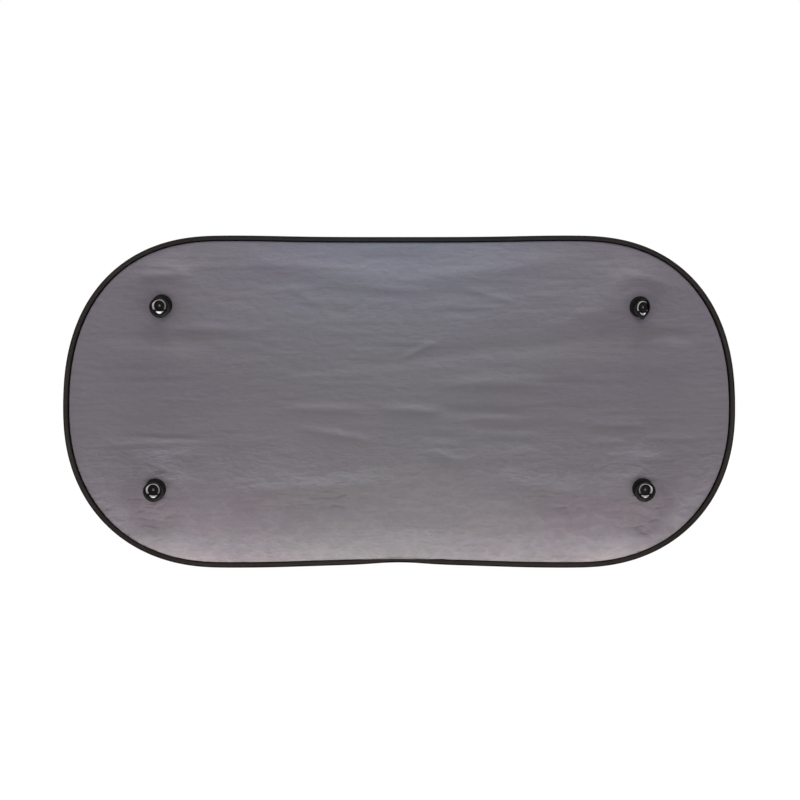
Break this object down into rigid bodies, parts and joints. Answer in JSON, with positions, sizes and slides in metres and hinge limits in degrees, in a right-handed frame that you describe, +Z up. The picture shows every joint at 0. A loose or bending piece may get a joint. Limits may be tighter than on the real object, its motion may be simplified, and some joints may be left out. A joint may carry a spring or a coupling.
{
  "type": "rear window sunshade",
  "caption": "Fold-up rear window sunshade: mesh cloth stretched in a bound spring-wire hoop of rounded oblong outline, with suction cups on reinforced holes near its corners.",
  "frame": {"origin": "point on the window glass in front of the middle of the sheet, on the plane where the lips of the square-set cups would end", "axes": "+Z up, +X along the shade's length to the right of somebody who looks at the glass side, +Y away from the glass into the car"},
  "size_m": [1, 0.0274, 0.4942],
  "materials": {
    "mesh_cloth": "satin",
    "binding_tape": "matte",
    "spring_steel": "satin",
    "crimp_sleeve": "satin",
    "backing_patch": "matte",
    "cup_vinyl": "gloss"
  },
  "bodies": {
    "shade": {"shade_panel": "mesh_cloth", "edge_binding": "binding_tape", "spring_wire": "spring_steel", "wire_sleeve": "crimp_sleeve", "patch_front_top_left": "backing_patch", "patch_rear_top_left": "backing_patch", "patch_front_top_right": "backing_patch", "patch_rear_top_right": "backing_patch", "patch_front_bottom_left": "backing_patch", "patch_rear_bottom_left": "backing_patch", "patch_front_bottom_right": "backing_patch", "patch_rear_bottom_right": "backing_patch"},
    "cup_top_left": {"suction_cup_top_left": "cup_vinyl"},
    "cup_top_right": {"suction_cup_top_right": "cup_vinyl"},
    "cup_bottom_left": {"suction_cup_bottom_left": "cup_vinyl"},
    "cup_bottom_right": {"suction_cup_bottom_right": "cup_vinyl"}
  },
  "joints": [
    {"name": "swivel_top_left", "type": "hinge", "parent": "shade", "child": "cup_top_left", "pos_m": [-0.3528, 0.0155, 0.1437], "axis": [-0.1308, -0.9305, -0.342], "continuous": true},
    {"name": "swivel_top_right", "type": "hinge", "parent": "shade", "child": "cup_top_right", "pos_m": [0.358, 0.0155, 0.1409], "axis": [0.2781, -0.9095, -0.309], "continuous": true},
    {"name": "swivel_bottom_left", "type": "hinge", "parent": "shade", "child": "cup_bottom_left", "pos_m": [-0.3623, 0.0155, -0.1299], "axis": [-0.1005, -0.956, -0.2756], "continuous": true},
    {"name": "swivel_bottom_right", "type": "hinge", "parent": "shade", "child": "cup_bottom_right", "pos_m": [0.3622, 0.0155, -0.1295], "axis": [0.1492, -0.942, -0.3007], "continuous": true}
  ]
}
